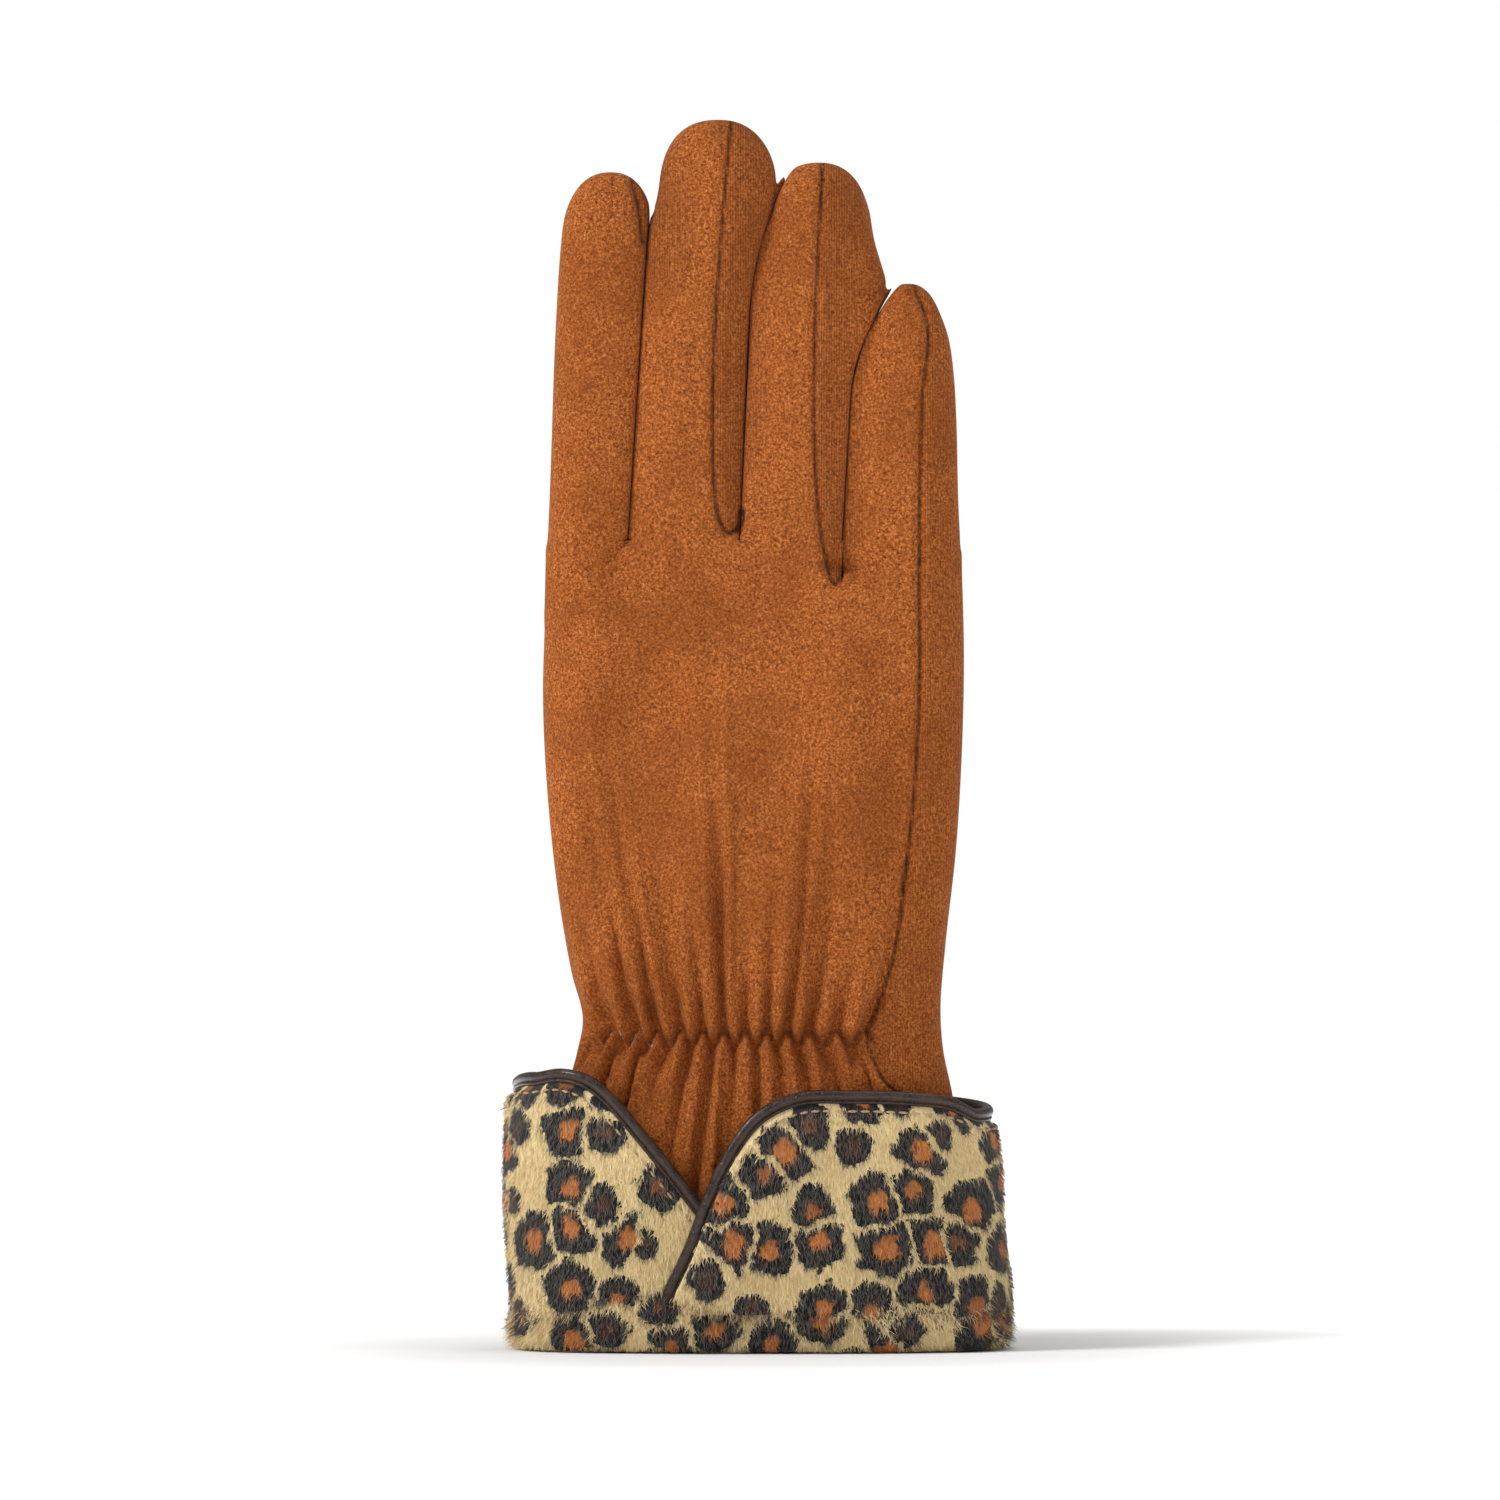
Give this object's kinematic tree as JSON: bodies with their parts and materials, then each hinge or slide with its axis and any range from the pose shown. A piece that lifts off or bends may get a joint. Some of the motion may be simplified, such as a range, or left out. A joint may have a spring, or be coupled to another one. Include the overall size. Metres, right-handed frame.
{
  "type": "touchscreen glove",
  "caption": "Right-hand suede-faced touchscreen glove with gathered wrist, fingertip touch pads and turned-back spotted faux-fur cuff, upright as worn; fingers and thumb bend",
  "frame": {"origin": "centre of the hand opening, level with the lower fold of the cuff", "axes": "+Z along the fingers, -Y towards the back of the hand, +Y towards the palm, +X towards the little finger"},
  "size_m": [0.1004, 0.0557, 0.2466],
  "materials": {
    "suede": "suede-faced knit, brushed",
    "fleece_lining": "short brushed fleece",
    "faux_fur": "short spotted pile",
    "piping_leather": "glossy artificial leather",
    "piping_cord": "cotton cord",
    "touch_fabric": "conductive knit with metallic yarn",
    "elastic": "woven elastic",
    "label": "satin ribbon, blank",
    "thread": "sewing thread"
  },
  "bodies": {
    "root": {"back_gauntlet": "suede", "back_panel": "suede", "care_label": "label", "cuff_band": "faux_fur", "cuff_facing": "faux_fur", "cuff_flap_left": "faux_fur", "cuff_flap_right": "faux_fur", "hand_lining": "fleece_lining", "index_knuckle_fold": "suede", "little_knuckle_fold": "suede", "middle_knuckle_fold": "suede", "palm_finger_roots": "suede", "palm_gauntlet": "suede", "palm_panel": "suede", "piping_cord_left": "piping_cord", "piping_cord_right": "piping_cord", "piping_left": "piping_leather", "piping_right": "piping_leather", "ring_knuckle_fold": "suede", "side_panel": "suede", "thumb_hole_hem": "suede", "topstitching_left": "thread", "topstitching_right": "thread", "wrist_elastic": "elastic"},
    "index_base": {"index_base_fourchette": "suede", "index_base_lining": "fleece_lining", "index_base_suede": "suede", "index_middle_fold": "suede"},
    "index_tip": {"index_tip_fourchette": "suede", "index_tip_lining": "fleece_lining", "index_tip_suede": "suede", "index_touch_pad": "touch_fabric"},
    "little_base": {"little_base_fourchette": "suede", "little_base_lining": "fleece_lining", "little_base_suede": "suede", "little_middle_fold": "suede"},
    "little_tip": {"little_tip_fourchette": "suede", "little_tip_lining": "fleece_lining", "little_tip_suede": "suede"},
    "middle_base": {"middle_base_fourchette": "suede", "middle_base_lining": "fleece_lining", "middle_base_suede": "suede", "middle_middle_fold": "suede"},
    "middle_tip": {"middle_tip_fourchette": "suede", "middle_tip_lining": "fleece_lining", "middle_tip_suede": "suede"},
    "ring_base": {"ring_base_fourchette": "suede", "ring_base_lining": "fleece_lining", "ring_base_suede": "suede", "ring_middle_fold": "suede"},
    "ring_tip": {"ring_tip_fourchette": "suede", "ring_tip_lining": "fleece_lining", "ring_tip_suede": "suede"},
    "thumb_base": {"thumb_base_lining": "fleece_lining", "thumb_base_suede": "suede", "thumb_middle_fold": "suede"},
    "thumb_tip": {"thumb_tip_lining": "fleece_lining", "thumb_tip_suede": "suede", "thumb_touch_pad": "touch_fabric"}
  },
  "joints": [
    {"name": "index_knuckle", "type": "hinge", "parent": "root", "child": "index_base", "pos_m": [-0.03253, 0, 0.168], "axis": [-1, 0, 0], "range_deg": [-20, 75], "deforming": ["index_knuckle_fold"]},
    {"name": "index_bend", "type": "hinge", "parent": "index_base", "child": "index_tip", "pos_m": [-0.03036, 0, 0.205], "axis": [-1, 0, 0], "range_deg": [0, 85], "deforming": ["index_middle_fold"]},
    {"name": "middle_knuckle", "type": "hinge", "parent": "root", "child": "middle_base", "pos_m": [-0.0135, 0, 0.168], "axis": [-1, 0, 0], "range_deg": [-20, 75], "deforming": ["middle_knuckle_fold"]},
    {"name": "middle_bend", "type": "hinge", "parent": "middle_base", "child": "middle_tip", "pos_m": [-0.00989, 0, 0.209], "axis": [-1, 0, 0], "range_deg": [0, 85], "deforming": ["middle_middle_fold"]},
    {"name": "ring_knuckle", "type": "hinge", "parent": "root", "child": "ring_base", "pos_m": [0.00831, 0, 0.168], "axis": [-1, 0, 0], "range_deg": [-20, 75], "deforming": ["ring_knuckle_fold"]},
    {"name": "ring_bend", "type": "hinge", "parent": "ring_base", "child": "ring_tip", "pos_m": [0.01068, 0, 0.205], "axis": [-1, 0, 0], "range_deg": [0, 85], "deforming": ["ring_middle_fold"]},
    {"name": "little_knuckle", "type": "hinge", "parent": "root", "child": "little_base", "pos_m": [0.0296, 0, 0.16], "axis": [-1, 0, 0], "range_deg": [-20, 75], "deforming": ["little_knuckle_fold"]},
    {"name": "little_bend", "type": "hinge", "parent": "little_base", "child": "little_tip", "pos_m": [0.03018, 0, 0.187], "axis": [-1, 0, 0], "range_deg": [0, 85], "deforming": ["little_middle_fold"]},
    {"name": "thumb_swing", "type": "hinge", "parent": "root", "child": "thumb_base", "pos_m": [-0.022, 0.01445, 0.086], "axis": [0, -1, 0], "range_deg": [-8, 55]},
    {"name": "thumb_bend", "type": "hinge", "parent": "thumb_base", "child": "thumb_tip", "pos_m": [-0.01671, 0.02305, 0.12363], "axis": [0, 1, 0], "range_deg": [0, 60], "deforming": ["thumb_middle_fold"]}
  ]
}
